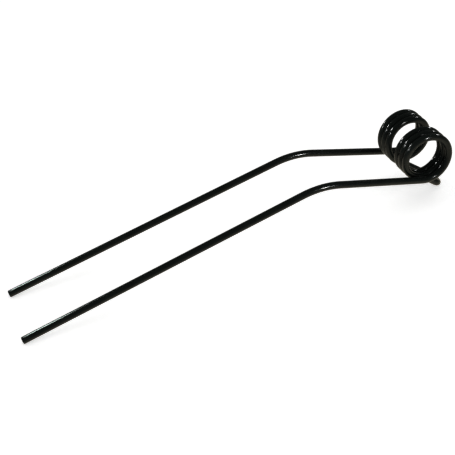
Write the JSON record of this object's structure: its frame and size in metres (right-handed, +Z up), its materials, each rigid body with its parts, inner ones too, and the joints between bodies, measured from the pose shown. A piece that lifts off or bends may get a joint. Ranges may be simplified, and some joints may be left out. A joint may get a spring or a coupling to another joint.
{
  "type": "rotary rake tine",
  "caption": "Double spring tine for a rotary rake: two bent legs, two coils and a joining loop, in one round wire.",
  "frame": {"origin": "on the common axis of the two coils, midway between them, where the rake's arm passes through", "axes": "+Y along the coils' axis, -X towards the tips of the legs, +Z up with the tine lying on its two tips and its loop"},
  "size_m": [0.5824, 0.1012, 0.1056],
  "materials": {
    "black_paint": "gloss"
  },
  "bodies": {
    "root": {"tine": "black_paint"}
  },
  "joints": []
}
